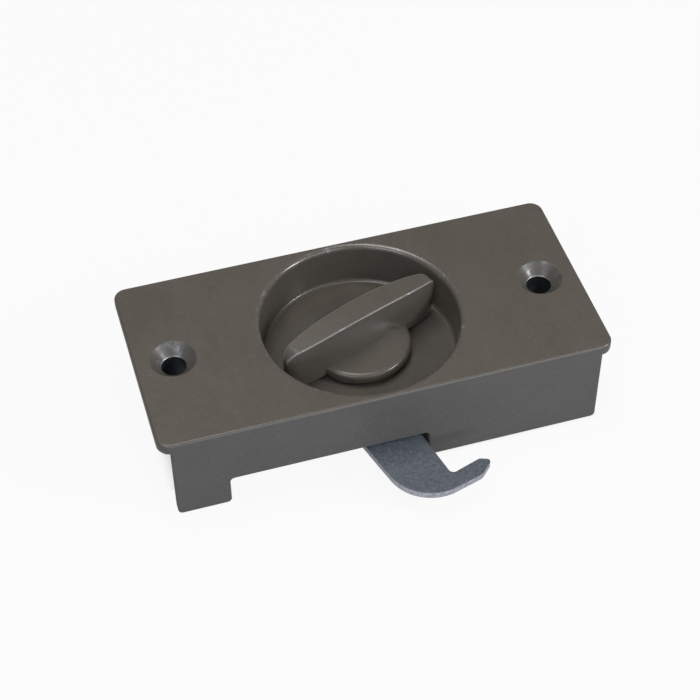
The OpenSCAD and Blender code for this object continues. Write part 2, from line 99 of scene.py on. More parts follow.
def deselect_all():
    bpy.ops.object.select_all(action="DESELECT")


def make_active(piece):
    deselect_all()
    piece.select_set(True)
    bpy.context.view_layer.objects.active = piece


def start_edit(piece):
    make_active(piece)
    bpy.ops.object.mode_set(mode="EDIT")
    bpy.ops.mesh.select_all(action="SELECT")


def end_edit():
    bpy.ops.object.mode_set(mode="OBJECT")


def select_edges(piece, test):
    """Open a piece for editing, with the edges selected whose ends pass a test."""
    make_active(piece)
    bpy.ops.object.mode_set(mode="EDIT")
    bpy.ops.mesh.select_mode(type="EDGE")
    bpy.ops.mesh.select_all(action="DESELECT")
    mesh = bmesh.from_edit_mesh(piece.data)
    for edge in mesh.edges:
        if test(edge.verts[0].co, edge.verts[1].co):
            edge.select_set(True)
    bmesh.update_edit_mesh(piece.data)


def arc(centre, radius, start, end, steps):
    """Points of an arc, from one angle in degrees to another."""
    angles = [math.radians(start + (end - start) * i / steps) for i in range(steps + 1)]
    return [(centre[0] + radius * math.cos(a), centre[1] + radius * math.sin(a)) for a in angles]


def crossing(p, d, q, e):
    """Point where two lines cross, each given by a point and a direction."""
    return p + d * ((q - p).cross(e) / d.cross(e))


def rounded(points, radii, steps=10):
    """Outline through the points, each corner rounded with its own radius."""
    line = []
    for i, radius in enumerate(radii):
        corner = Vector(points[i])
        if radius == 0:
            line.append(tuple(corner))
            continue
        before = (Vector(points[i - 1]) - corner).normalized()
        after = (Vector(points[(i + 1) % len(points)]) - corner).normalized()
        half = before.angle(after) / 2
        centre = corner + (before + after).normalized() * radius / math.sin(half)
        start = corner + before * radius / math.tan(half) - centre
        turn = start.angle_signed(corner + after * radius / math.tan(half) - centre)
        for k in range(steps + 1):
            a = math.atan2(start.y, start.x) - turn * k / steps
            line.append((centre.x + radius * math.cos(a), centre.y + radius * math.sin(a)))
    return line


def draw_line(name, points):
    """Draw a chain of edges by extruding one vertex, and stay in edit mode."""
    deselect_all()
    bpy.ops.mesh.primitive_plane_add(size=1, location=(0, 0, 0))
    piece = bpy.context.object
    piece.name = name
    bpy.ops.object.mode_set(mode="EDIT")
    bpy.ops.mesh.select_mode(type="VERT")
    bpy.ops.mesh.select_all(action="SELECT")
    bpy.ops.mesh.merge(type="CENTER")
    bpy.ops.transform.translate(value=points[0])
    for before, after in zip(points, points[1:]):
        step = Vector(after) - Vector(before)
        bpy.ops.mesh.extrude_region_move(TRANSFORM_OT_translate={"value": step})
    bpy.ops.mesh.select_all(action="SELECT")
    return piece


def plate_from(name, outline, start, depth):
    """A flat piece: an outline, placed by a point and two directions, filled and extruded."""
    at, u_way, v_way = (Vector(start[key]) for key in ("at", "u", "v"))
    piece = draw_line(name, [at + u_way * u + v_way * v for u, v in outline])
    bpy.ops.mesh.edge_face_add()
    bpy.ops.mesh.extrude_region_move(TRANSFORM_OT_translate={"value": depth})
    bpy.ops.mesh.select_all(action="SELECT")
    bpy.ops.mesh.normals_make_consistent(inside=False)
    end_edit()
    return piece


def flat_piece(name, outline, bottom, top):
    """An outline in X and Y, standing from one level to another."""
    start = {"at": (0, 0, bottom), "u": (1, 0, 0), "v": (0, 1, 0)}
    return plate_from(name, outline, start, (0, 0, top - bottom))


def upright_piece(name, outline, near, far):
    """An outline in X and Z, running from one Y to another."""
    start = {"at": (0, near, 0), "u": (1, 0, 0), "v": (0, 0, 1)}
    return plate_from(name, outline, start, (0, far - near, 0))


def turned_piece(name, profile, centre=(0, 0), steps=128):
    """A profile of radius and height, spun round an upright axis."""
    piece = draw_line(name, [(centre[0] + r, centre[1], z) for r, z in profile])
    bpy.ops.mesh.spin(steps=steps, angle=2 * math.pi, center=(*centre, 0), axis=(0, 0, 1))
    bpy.ops.mesh.select_all(action="SELECT")
    bpy.ops.mesh.remove_doubles(threshold=0.0005)
    bpy.ops.mesh.normals_make_consistent(inside=False)
    end_edit()
    return piece


def rod(name, centre, radius, bottom, top, edge=0.0, steps=64):
    """A round rod whose ends may have a chamfered edge."""
    if edge:
        profile = [(0, bottom), (radius - edge, bottom), (radius, bottom + edge),
                   (radius, top - edge), (radius - edge, top), (0, top)]
    else:
        profile = [(0, bottom), (radius, bottom), (radius, top), (0, top)]
    return turned_piece(name, profile, centre, steps)


def combine(piece, others, operation):
    """Join others to a piece, cut them from it, or keep what they share."""
    change = piece.modifiers.new(operation.lower(), "BOOLEAN")
    change.operation = operation
    change.solver = "EXACT"
    if len(others) == 1:
        change.object = others[0]
    else:
        tools = bpy.data.collections.new("tools")
        for other in others:
            tools.objects.link(other)
        change.operand_type = "COLLECTION"
        change.collection = tools
    make_active(piece)
    bpy.ops.object.modifier_apply(modifier=change.name)
    for other in others:
        bpy.data.objects.remove(other)
    if len(others) > 1:
        bpy.data.collections.remove(tools)
    return piece


def round_edges(piece, width, steps, finish, angle):
    """Round the sharp edges of a piece, and give the rounds a finish."""
    change = piece.modifiers.new("rounds", "BEVEL")
    change.width = width
    change.segments = steps
    change.limit_method = "ANGLE"
    change.angle_limit = math.radians(angle)
    change.use_clamp_overlap = False
    change.miter_outer = "MITER_ARC"
    change.material = finish
    make_active(piece)
    bpy.ops.object.modifier_apply(modifier=change.name)
    return piece


def merge_points(piece):
    start_edit(piece)
    bpy.ops.mesh.remove_doubles(threshold=MERGE_GAP)
    bpy.ops.mesh.dissolve_degenerate(threshold=MERGE_GAP)
    end_edit()
    return piece


def finish_piece(piece, smooth_angle=32):
    """Bring a piece from millimetres to metres and smooth its rounds."""
    make_active(piece)
    piece.scale = (0.001, 0.001, 0.001)
    bpy.ops.object.transform_apply(location=True, rotation=True, scale=True)
    bpy.ops.object.shade_smooth_by_angle(angle=math.radians(smooth_angle))
    change = piece.modifiers.new("even_shading", "WEIGHTED_NORMAL")
    change.keep_sharp = True
    change.weight = 50
    bpy.ops.object.modifier_apply(modifier=change.name)
    return piece


def set_finishes(piece, finishes):
    piece.data.materials.clear()
    for finish in finishes:
        piece.data.materials.append(finish)


def finish_faces(piece, slot, test):
    """Give a finish to the faces whose middle and normal pass a test."""
    for face in piece.data.polygons:
        if test(face.center, face.normal):
            face.material_index = slot


# Nodes of the finishes

def add_node(tree, kind, inputs=None, **settings):
    made = tree.nodes.new(kind)
    for key, value in settings.items():
        setattr(made, key, value)
    for key, value in (inputs or {}).items():
        if isinstance(value, bpy.types.NodeSocket):
            tree.links.new(value, made.inputs[key])
        else:
            made.inputs[key].default_value = value
    return made


def new_finish(name, roughness=0.4, metallic=0.0):
    material = bpy.data.materials.new(name)
    material.use_nodes = True
    tree = material.node_tree
    shader = tree.nodes["Principled BSDF"]
    shader.inputs["Roughness"].default_value = roughness
    shader.inputs["Metallic"].default_value = metallic
    place = add_node(tree, "ShaderNodeTexCoord").outputs["Object"]
    return material, tree, shader, place


def noise(tree, place, scale, detail=3.0, roughness=0.55):
    inputs = {"Vector": place, "Scale": scale, "Detail": detail, "Roughness": roughness}
    return add_node(tree, "ShaderNodeTexNoise", inputs).outputs["Fac"]


def stretch(tree, place, amounts):
    """Stretch a pattern, such as along the grain of rolled sheet."""
    inputs = {"Vector": place, "Scale": amounts}
    return add_node(tree, "ShaderNodeMapping", inputs).outputs["Vector"]


def split(tree, place):
    """Give the X, Y and Z of a place by themselves."""
    return add_node(tree, "ShaderNodeSeparateXYZ", {"Vector": place}).outputs


def spread(tree, value, low, high, to_low=0.0, to_high=1.0):
    """Map a value from one span to another, and hold it there."""
    inputs = {"Value": value, "From Min": low, "From Max": high,
              "To Min": to_low, "To Max": to_high}
    made = add_node(tree, "ShaderNodeMapRange", inputs, interpolation_type="SMOOTHSTEP")
    return made.outputs["Result"]


def calc(tree, kind, first, second=0.0):
    made = add_node(tree, "ShaderNodeMath", {0: first, 1: second}, operation=kind)
    return made.outputs["Value"]


def weigh(tree, first, second, first_part):
    """Sum of two values, of which the first has its part and the second the rest."""
    return calc(tree, "ADD", calc(tree, "MULTIPLY", first, first_part),
                calc(tree, "MULTIPLY", second, 1 - first_part))


def blend_colour(tree, amount, first, second):
    made = add_node(tree, "ShaderNodeMix", data_type="RGBA")
    for index, value in ((0, amount), (6, first), (7, second)):
        if isinstance(value, bpy.types.NodeSocket):
            tree.links.new(value, made.inputs[index])
        elif index == 0:
            made.inputs[index].default_value = value
        else:
            made.inputs[index].default_value = (*value, 1.0)
    return made.outputs[2]


def bump(tree, height, distance, below=None):
    inputs = {"Height": height, "Distance": distance, "Strength": 1.0}
    if below is not None:
        inputs["Normal"] = below
    return add_node(tree, "ShaderNodeBump", inputs).outputs["Normal"]


# Finishes

def cast_paint(name, dark, light, wear=0.0, gloss=(0.27, 0.40), coat=0.25):
    """Semi-gloss bronze paint on a die casting, rubbed to the metal where it wears."""
    material, tree, shader, place = new_finish(name)
    clouds = noise(tree, place, 70.0, 4.0)
    grain = noise(tree, place, 2600.0, 2.0)
    peel = noise(tree, place, 800.0, 2.0, 0.4)
    sand = noise(tree, place, 1300.0, 4.0, 0.7)
    colour = blend_colour(tree, spread(tree, clouds, 0.30, 0.72, 0.3, 0.7), dark, light)
    colour = blend_colour(tree, spread(tree, sand, 0.40, 0.66, 0.0, 0.45), colour, light)
    flecks = spread(tree, grain, 0.60, 0.78, 0.0, 0.30)
    colour = blend_colour(tree, flecks, colour, tuple(1.9 * c for c in light))
    pits = {"Vector": place, "Scale": 420.0}
    pits = add_node(tree, "ShaderNodeTexVoronoi", pits).outputs["Distance"]
    dust = spread(tree, pits, 0.06, 0.035)
    seldom = spread(tree, noise(tree, place, 260.0, 2.0), 0.60, 0.66)
    dust = calc(tree, "MULTIPLY", dust, seldom)
    colour = blend_colour(tree, dust, colour, (0.20, 0.19, 0.18))
    smear = noise(tree, stretch(tree, place, (1.0, 0.35, 1.0)), 240.0, 5.0, 0.65)
    rough = spread(tree, smear, 0.3, 0.72, *gloss)
    if wear:
        rubbed = noise(tree, place, 330.0, 5.0, 0.7)
        rubbed = spread(tree, rubbed, 0.62 - wear, 0.74 - wear, 0.0, 0.85)
        colour = blend_colour(tree, rubbed, colour, (0.36, 0.35, 0.37))
        metal = calc(tree, "MULTIPLY", rubbed, 0.8)
        tree.links.new(metal, shader.inputs["Metallic"])
    tree.links.new(colour, shader.inputs["Base Color"])
    tree.links.new(rough, shader.inputs["Roughness"])
    normal = bump(tree, noise(tree, place, 110.0, 2.0), 0.00010)
    normal = bump(tree, peel, 0.000022, normal)
    normal = bump(tree, sand, 0.000014, normal)
    normal = bump(tree, grain, 0.000004, normal)
    tree.links.new(normal, shader.inputs["Normal"])
    shader.inputs["Coat Weight"].default_value = coat
    shader.inputs["Coat Roughness"].default_value = 0.16
    return material


def scuffed_paint(name, dark, light):
    """Countersinks: paint rubbed thin in soft patches and fine rings by the screws' heads."""
    material, tree, shader, place = new_finish(name, 0.34)
    height = split(tree, place)["Z"]
    rings = noise(tree, calc(tree, "MULTIPLY", height, 5200.0), 1.0, 3.0, 0.6)
    patches = noise(tree, place, 430.0, 5.0, 0.72)
    both = weigh(tree, patches, rings, 0.86)
    worn = spread(tree, both, 0.50, 0.70, 0.0, 0.75)
    colour = blend_colour(tree, worn, dark, light)
    tree.links.new(colour, shader.inputs["Base Color"])
    tree.links.new(calc(tree, "MULTIPLY", worn, 0.45), shader.inputs["Metallic"])
    tree.links.new(spread(tree, both, 0.3, 0.7, 0.46, 0.30), shader.inputs["Roughness"])
    tree.links.new(bump(tree, both, 0.00002), shader.inputs["Normal"])
    return material


def plated_steel(name, dark, light, roughness, scale, grain=(1.0, 1.0, 1.0),
                 metallic=0.9, soft=0.16):
    """Plated or bare steel with a mottled or drawn surface."""
    material, tree, shader, place = new_finish(name, roughness, metallic)
    drawn = stretch(tree, place, grain)
    mottle = noise(tree, drawn, scale, 6.0, 0.7)
    fine = noise(tree, drawn, scale * 14, 2.0, 0.5)
    both = weigh(tree, mottle, fine, 0.75)
    colour = blend_colour(tree, spread(tree, both, 0.5 - soft, 0.5 + soft), dark, light)
    rough = spread(tree, mottle, 0.3, 0.7, roughness - 0.07, roughness + 0.09)
    tree.links.new(colour, shader.inputs["Base Color"])
    tree.links.new(rough, shader.inputs["Roughness"])
    normal = bump(tree, mottle, 0.00003)
    tree.links.new(bump(tree, fine, 0.00001, normal), shader.inputs["Normal"])
    return material


def moulded_acetal():
    """Off-white moulded plastic of the bush."""
    material, tree, shader, place = new_finish("moulded_acetal", 0.42)
    cloud = noise(tree, place, 320.0, 4.0)
    tone = spread(tree, cloud, 0.3, 0.7)
    colour = blend_colour(tree, tone, (0.62, 0.60, 0.53), (0.72, 0.70, 0.64))
    tree.links.new(colour, shader.inputs["Base Color"])
    tree.links.new(spread(tree, cloud, 0.3, 0.7, 0.36, 0.50), shader.inputs["Roughness"])
    normal = bump(tree, noise(tree, place, 3000.0, 2.0), 0.000004)
    tree.links.new(normal, shader.inputs["Normal"])
    return material


# Housing

def face_plate():
    """Plate with rounded upright corners and rounded front edges."""
    deselect_all()
    bpy.ops.mesh.primitive_cube_add(size=1, location=(0, 0, PLATE_T / 2))
    piece = bpy.context.object
    piece.name = "casting"
    piece.scale = (PLATE_L, PLATE_W, PLATE_T)
    bpy.ops.object.transform_apply(location=True, rotation=False, scale=True)
    past_walls = BODY_L / 2 + 1
    rounds = (
        (lambda a, b: abs(a.z - b.z) > PLATE_T / 2, PLATE_CORNER, 12, -1),
        # The plate's top edges take the rubbed finish, whose lighter colour is partly a painted
        # highlight
        (lambda a, b: min(a.z, b.z) > PLATE_T - 0.1, PLATE_EDGE, 5, RUBBED_AND_PAINTED_HIGHLIGHT),
        (lambda a, b: max(a.z, b.z) < 0.1 and min(abs(a.x), abs(b.x)) > past_walls,
         PLATE_UNDER_EDGE, 2, -1),
    )
    for test, size, steps, finish in rounds:
        select_edges(piece, test)
        bpy.ops.mesh.bevel(offset=size, segments=steps, affect="EDGES", clamp_overlap=False,
                           material=finish)
        end_edit()
    return piece


def side_wall(name, outline, outer, inner, finishes):
    """A long wall: its side view, given its thickness, with all edges rounded."""
    piece = upright_piece(name, outline, outer, inner)
    set_finishes(piece, finishes)
    # The walls' rounds take the walls' finish, with its painted cool light
    return round_edges(piece, WALL_EDGE, 3, WALLS_PAINTED_COOL_LIGHT, 50)


def wall_outlines():
    """Side views of the front wall, with its notch, and of the plain back wall."""
    half, low, top = BODY_L / 2, -BODY_DEPTH, PLATE_T / 2
    front = [(-half, top), (-half, low), (FOOT_INNER, low), (FOOT_INNER, NOTCH_TOP),
             (NOTCH_END, NOTCH_TOP), (NOTCH_END, low), (half, low), (half, top)]
    back = [(-half, top), (-half, low), (half, low), (half, top)]
    r = WALL_END
    return rounded(front, [0, r, r, r, r, r, r, 0]), rounded(back, [0, r, r, 0])


def cup_bore():
    """The round cup to be cut out, with its floor's fillet and the rounded lip."""
    lip_r = CUP_R + CUP_LIP
    lip = arc((lip_r, PLATE_T - CUP_LIP), CUP_LIP, 180, 95, 10) + [(lip_r, PLATE_T + 0.02)]
    fillet_z = CUP_FLOOR_Z + CUP_FILLET
    fillet = arc((CUP_FLOOR_R - CUP_FILLET, fillet_z), CUP_FILLET, -90, 0, 8)
    profile = [(0, CUP_FLOOR_Z), (CUP_MIDDLE_R, CUP_FLOOR_Z)] + fillet + lip
    profile += [(lip_r, PLATE_T + 1), (0, PLATE_T + 1)]
    return turned_piece("cup_bore", profile, steps=180)


def fixing_hole(x):
    """A countersunk hole to be cut out, which leaves a ring at the countersink's foot."""
    foot_z = PLATE_T - (SINK_R - HOLE_R)
    ring_r = HOLE_R - RING
    hole = [(0, BOSS_END - 1), (HOLE_R, BOSS_END - 1), (HOLE_R, foot_z - 0.5)]
    ring = [(ring_r, foot_z - 0.3), (ring_r, foot_z - 0.16), (HOLE_R - 0.05, foot_z - 0.03)]
    rim = [(SINK_R - 0.12, PLATE_T - 0.12), (SINK_R - 0.02, PLATE_T - 0.045),
           (SINK_R + 0.12, PLATE_T + 0.03), (SINK_R + 0.12, PLATE_T + 1), (0, PLATE_T + 1)]
    return turned_piece("fixing_hole", hole + ring + rim, (x, 0), 72)


def paint_walls(piece):
    """The duller paint of both long walls and of the plate's long sides above them, a little
    lighter and cooler than the plate's: painted cool light.
    """
    inner = FRONT - WALL_T - 0.05
    for face in piece.data.polygons:
        c = face.center
        in_wall = c.z < -0.005 and abs(c.y) > inner and math.hypot(c.x, c.y) > CUP_OUTER_R
        if face.material_index == PAINT and (in_wall or abs(c.y) > FRONT - 0.1):
            face.material_index = WALLS_PAINTED_COOL_LIGHT


def paint_hole(piece, x):
    """The worn countersink of a fixing hole, the bare ring at its foot, and its wall in
    near-black painted shade.
    """
    def off(c):
        return math.hypot(c.x - x, c.y)

    finish_faces(piece, SINK, lambda c, n: off(c) < SINK_R + 0.1
                 and PLATE_T - 2.15 < c.z < PLATE_T - 0.01 and n.z > 0.2)
    finish_faces(piece, BARE_RING, lambda c, n: HOLE_R - RING < off(c) < HOLE_R
                 and PLATE_T - 2.1 < c.z < PLATE_T - 1.82 and n.z > 0.1)
    # The hole's wall gets the near-black painted shade
    finish_faces(piece, HOLE_WALL_PAINTED_SHADE, lambda c, n: off(c) < HOLE_R + 0.05
                 and abs(n.z) < 0.1 and c.z < PLATE_T - 2.2)


def paint_cup_lip(piece):
    middle, half = CUP_R + CUP_LIP / 2, CUP_LIP / 2 + 0.05
    finish_faces(piece, LIP, lambda c, n: abs(math.hypot(c.x, c.y) - middle) < half
                 and PLATE_T - CUP_LIP < c.z < PLATE_T - 0.001 and n.z < 0.98)


def build_casting(finishes):
    """The housing: plate, two walls, cup, hub, posts, bosses and ribs in one casting."""
    piece = face_plate()
    set_finishes(piece, finishes)
    front_view, back_view = wall_outlines()
    outer, inner = FRONT - WALL_SET, FRONT - WALL_T
    joined = [
        side_wall("front_wall", front_view, -outer, -inner, finishes),
        side_wall("back_wall", back_view, outer, inner, finishes),
        rod("cup_shell", (0, 0), CUP_OUTER_R, CUP_UNDER_Z, PLATE_T / 2, 0.4, 180),
        rod("hub", (0, 0), HUB_R, HUB_END, CUP_FLOOR_Z - 0.4, 0.25, 96),
    ]
    joined += [rod("post", p, POST_R, POST_END, CUP_FLOOR_Z - 0.6, 0.2) for p in POSTS]
    turns = [math.radians(a) for a in STOP_ANGLES]
    stops = [(STOP_R * math.cos(a), STOP_R * math.sin(a)) for a in turns]
    joined += [rod("stop_lug", p, STOP_LUG_R, HUB_END, CUP_FLOOR_Z - 0.8, 0.2) for p in stops]
    for side in (-1, 1):
        boss_top = PLATE_T / 2 - 0.1
        joined.append(rod("boss", (side * HOLE_X, 0), BOSS_R, BOSS_END, boss_top, 0.3))
        left, right = sorted((side * RIB_NEAR, side * RIB_FAR))
        rib = [(left, -RIB_HALF), (right, -RIB_HALF), (right, RIB_HALF), (left, RIB_HALF)]
        joined.append(flat_piece("rib", rib, RIB_END, PLATE_T / 2 - 0.2))
    combine(piece, joined, "UNION")
    cut = [cup_bore(), fixing_hole(-HOLE_X), fixing_hole(HOLE_X)]
    cut.append(rod("bush_hole", (0, 0), BUSH_R, HUB_END - 1, CUP_FLOOR_Z + 1))
    pilot_top, stop_top = POST_END + PILOT_DEPTH, CUP_UNDER_Z + STOP_HOLE_RISE
    cut += [rod("pilot", p, PILOT_R, POST_END - 1, pilot_top, 0, 32) for p in POSTS]
    cut += [rod("stop_hole", p, STOP_HOLE_R, HUB_END - 1, stop_top, 0, 32) for p in stops]
    combine(piece, cut, "DIFFERENCE")
    merge_points(piece)
    paint_walls(piece)
    for side in (-1, 1):
        paint_hole(piece, side * HOLE_X)
    paint_cup_lip(piece)
    return finish_piece(piece)


# Knob

def bar_half_width(x):
    """Half the bar's thickness at a place along it: a long lens with blunt, rounded ends."""
    return KNOB_MID / 2 * max(0.0, 1 - (2 * x / KNOB_L) ** 2) ** (KNOB_BLUNT / 2)


def knob_outline():
    """Plan of the bar."""
    turns = [2 * math.pi * i / 112 for i in range(112)]
    xs = [KNOB_L / 2 * math.cos(a) for a in turns]
    return [(x, math.copysign(bar_half_width(x), math.sin(a))) for x, a in zip(xs, turns)]


def knob_side():
    """Side view of the bar: a crowned top that runs into round shoulders, and round heels."""
    fall = KNOB_TOP - KNOB_END_TOP
    radius = (KNOB_L ** 2 / 4 + fall ** 2) / (2 * fall)
    crown_end = (KNOB_L / 2 - KNOB_SHOULDER) / (1 - KNOB_SHOULDER / radius)
    slope = math.asin(crown_end / radius)
    xs = [crown_end * (2 * i / 40 - 1) for i in range(40, -1, -1)]
    crown = [(x, math.sqrt(radius ** 2 - x ** 2) - radius + KNOB_TOP) for x in xs]
    middle = (KNOB_L / 2 - KNOB_SHOULDER, crown[0][1] - KNOB_SHOULDER * math.cos(slope))
    shoulder = arc(middle, KNOB_SHOULDER, 0, 90 - math.degrees(slope), 12)[:-1]
    top = shoulder + crown + [(-x, z) for x, z in reversed(shoulder)]
    heel_x, heel_z = KNOB_L / 2 + 0.01 - KNOB_HEEL, KNOB_Z + KNOB_HEEL
    left_heel = arc((-heel_x, heel_z), KNOB_HEEL, 180, 270, 14)
    right_heel = arc((heel_x, heel_z), KNOB_HEEL, 270, 360, 14)
    return left_heel + right_heel + top


def swell_boss(piece):
    """Raise the boss's top gently towards the bar's right half, but not at its rim."""
    start_edit(piece)
    mesh = bmesh.from_edit_mesh(piece.data)
    for point in mesh.verts:
        place = point.co
        if place.z > KNOB_BOSS_EDGE_Z - 0.01:
            from_bar = max(0.0, abs(place.y) - bar_half_width(place.x))
            near = max(0.0, 1 - from_bar / SWELL_REACH) ** 2
            right = min(1.0, max(0.0, (place.x - SWELL_START) / SWELL_RUN))
            rim = (SWELL_RIM_R - math.hypot(place.x, place.y)) / SWELL_RIM_W
            rim = min(1.0, max(0.0, rim))
            place.z += SWELL * right * near * rim * rim * (3 - 2 * rim)
    bmesh.update_edit_mesh(piece.data)
    end_edit()
    return piece


def build_knob(finishes):
    """The knob: a thin crowned bar on a round boss that swells up into it."""
    bar = flat_piece("knob_casting", knob_outline(), KNOB_Z - 1, KNOB_TOP + 1)
    combine(bar, [upright_piece("bar_view", knob_side(), -6, 6)], "INTERSECT")
    set_finishes(bar, finishes)
    # The bar's rounds take the knob's edge finish, whose lighter colour is partly a painted
    # highlight
    round_edges(bar, KNOB_EDGE, 4, EDGE, 40)
    r = KNOB_BOSS_ROUND
    edge = arc((KNOB_BOSS_R - r, KNOB_BOSS_EDGE_Z - r), r, 0, 90, 8)
    rings = [(i / 2, KNOB_BOSS_EDGE_Z) for i in range(16, -1, -1)]
    foot = [(0, KNOB_Z), (KNOB_BOSS_R - KNOB_BOSS_FOOT, KNOB_Z),
            (KNOB_BOSS_R, KNOB_Z + KNOB_BOSS_FOOT)]
    boss = turned_piece("boss", foot + edge + rings, steps=128)
    combine(bar, [swell_boss(boss)], "UNION")
    x, y = TANG_HALF_X, TANG_HALF_Y
    tang = [(x, -y), (x, y), (-x, y), (-x, -y)]
    combine(bar, [flat_piece("tang_hole", tang, KNOB_Z - 1, KNOB_Z + TANG_DEPTH)], "DIFFERENCE")
    merge_points(bar)
    start_edit(bar)
    bpy.ops.transform.rotate(value=-math.radians(KNOB_ANGLE), orient_axis="Z",
                             center_override=(0, 0, 0))
    end_edit()
    return finish_piece(bar, 48)


# Hook

def hook_outline():
    """Outline of the hook: arm, nose, throat, round hub and the short tail for the stops."""
    lean, throat_lean, nose_rise = (math.radians(a) for a in (HOOK_LEAN, THROAT_LEAN, NOSE_RISE))
    out = Vector((math.sin(lean), -math.cos(lean)))
    side = Vector((math.cos(lean), math.sin(lean)))
    heel_y = -FRONT - HOOK_REACH + HOOK_HEEL
    heel_x = -HOOK_LEFT + (HOOK_HEEL - (heel_y + FRONT) * math.sin(lean)) / math.cos(lean)
    to_nose = HOOK_HEEL * Vector((math.sin(nose_rise), -math.cos(nose_rise)))
    nose_start = Vector((heel_x, heel_y)) + to_nose
    nose = Vector((math.cos(nose_rise), math.sin(nose_rise)))
    tip = Vector((TIP_X, -FRONT - TIP_GAP))
    heel = crossing(Vector((-HOOK_LEFT, -FRONT)), out, nose_start, nose)
    nose_corner = crossing(nose_start, nose, tip, Vector((math.sqrt(0.5), math.sqrt(0.5))))
    throat_x = HOOK_ARM_W - HOOK_LEFT
    crest = (TIP_X - CREST_BACK, -FRONT - CREST_GAP)
    throat = (throat_x + THROAT_GAP * math.tan(throat_lean), -FRONT - THROAT_GAP)
    beside_arm = Vector((throat_x, -FRONT))
    up = Vector((-math.sin(throat_lean), math.cos(throat_lean)))
    along = beside_arm.dot(up)
    to_hub = -along - math.sqrt(along ** 2 - beside_arm.length_squared + HOOK_HUB_R ** 2)
    root = beside_arm + up * to_hub
    points = [tuple(-HOOK_HUB_R * side), tuple(heel), tuple(nose_corner), tuple(tip), crest,
              throat, tuple(root)]
    radii = [0, HOOK_HEEL, NOSE_ROUND, TIP_ROUND, CREST_ROUND, THROAT_ROUND, 0]
    root_angle = math.degrees(math.atan2(root.y, root.x))
    tail_start, tail_end = HOOK_TAIL
    hub_right = arc((0, 0), HOOK_HUB_R, root_angle, tail_start, 40)[1:]
    tail = arc((0, 0), HOOK_TAIL_R, tail_start, tail_end, 8)
    hub_left = arc((0, 0), HOOK_HUB_R, tail_end, 180 + math.degrees(lean), 44)[:-1]
    return rounded(points, radii, 18) + hub_right + tail + hub_left


def build_hook(finishes):
    """The hook, punched from sheet, with a bore that fits the spindle's flats."""
    piece = flat_piece("hook_blade", hook_outline(), HOOK_UNDER, HOOK_TOP)
    bore = [point for middle in (0, 180) for point in
            arc((0, 0), BORE_R, middle - BORE_HALF_ARC, middle + BORE_HALF_ARC, 12)]
    bore = [(y, x) for x, y in bore][::-1]
    combine(piece, [flat_piece("bore", bore, HOOK_UNDER - 1, HOOK_TOP + 1)], "DIFFERENCE")
    merge_points(piece)
    set_finishes(piece, finishes)
    finish_faces(piece, EDGE, lambda c, n: abs(n.z) < 0.5)
    round_edges(piece, HOOK_EDGE, 2, FACE, 40)
    return finish_piece(piece, 36)


# The finishes in use. Each paint and metal has a dark and a light tone.
paint = cast_paint("bronze_enamel", (0.073, 0.064, 0.053), (0.097, 0.085, 0.071))
# Paint of the long walls: less glossy, and a little lighter and cooler than the plate's, which is
# painted cool light
wall_paint_with_painted_cool_light = cast_paint("bronze_enamel_walls_painted_cool_light", (0.077, 0.072, 0.066), (0.102, 0.095, 0.089),
                        gloss=(0.42, 0.55), coat=0.05)
# Rounded edges of the plate: paint rubbed to the metal in places, and a lighter colour all along
# them that is a painted highlight
paint_edges_rubbed_and_highlight = cast_paint("bronze_enamel_rubbed_painted_highlight", (0.145, 0.135, 0.123), (0.205, 0.193, 0.180),
                         wear=0.08, gloss=(0.36, 0.48), coat=0.1)
paint_lip = cast_paint("bronze_enamel_lip", (0.080, 0.071, 0.061), (0.106, 0.095, 0.084),
                       wear=0.04, gloss=(0.22, 0.34), coat=0.45)
knob_paint = cast_paint("knob_enamel", (0.075, 0.066, 0.055), (0.098, 0.087, 0.073))
# Rounded edges of the knob: paint rubbed to the metal in places, and a lighter colour all along
# them that is a painted highlight
knob_edges_rubbed_and_highlight = cast_paint("knob_enamel_rubbed_painted_highlight", (0.140, 0.130, 0.119), (0.190, 0.179, 0.167),
                        wear=0.10, gloss=(0.30, 0.42), coat=0.15)
sink = scuffed_paint("countersink", (0.082, 0.076, 0.068), (0.21, 0.212, 0.225))
# Walls of the fixing holes: near-black, a painted shade for the inside of the deep holes
hole_wall_painted_shade = plated_steel("hole_wall_painted_shade", (0.012, 0.014, 0.016), (0.030, 0.036, 0.042),
                         0.42, 700.0, metallic=0.3)
bare_ring = plated_steel("bare_ring", (0.17, 0.17, 0.17), (0.36, 0.36, 0.37), 0.40, 900.0)
hook_face = plated_steel("hook_face", (0.066, 0.081, 0.098), (0.132, 0.153, 0.177),
                         0.45, 2400.0, metallic=0.35, soft=0.13)
hook_edge = plated_steel("hook_sheared_edge", (0.44, 0.46, 0.50), (0.80, 0.82, 0.88),
                         0.36, 1500.0, (1.0, 1.0, 0.7))
bright_pin = plated_steel("bright_pin", (0.45, 0.46, 0.48), (0.62, 0.63, 0.65),
                          0.26, 500.0, (1.0, 1.0, 0.15))
turned_rod = plated_steel("turned_rod", (0.40, 0.41, 0.42), (0.58, 0.59, 0.60),
                          0.30, 300.0, (0.3, 0.3, 4.0))
screw_zinc = plated_steel("screw_zinc", (0.42, 0.43, 0.45), (0.60, 0.61, 0.63), 0.30, 420.0)
plate_zinc = plated_steel("plate_zinc", (0.34, 0.36, 0.38), (0.50, 0.52, 0.54),
                          0.38, 150.0, (1.0, 0.12, 1.0))
blue_spring = plated_steel("spring_temper", (0.20, 0.22, 0.27), (0.34, 0.36, 0.42),
                           0.28, 260.0, (0.2, 1.0, 1.0))
black_clip = plated_steel("clip_oxide", (0.045, 0.045, 0.048), (0.09, 0.09, 0.095),
                          0.36, 380.0, metallic=0.6)
cam_cast = plated_steel("cam_zinc", (0.30, 0.30, 0.29), (0.44, 0.44, 0.42),
                        0.46, 520.0, metallic=0.8)
acetal = moulded_acetal()

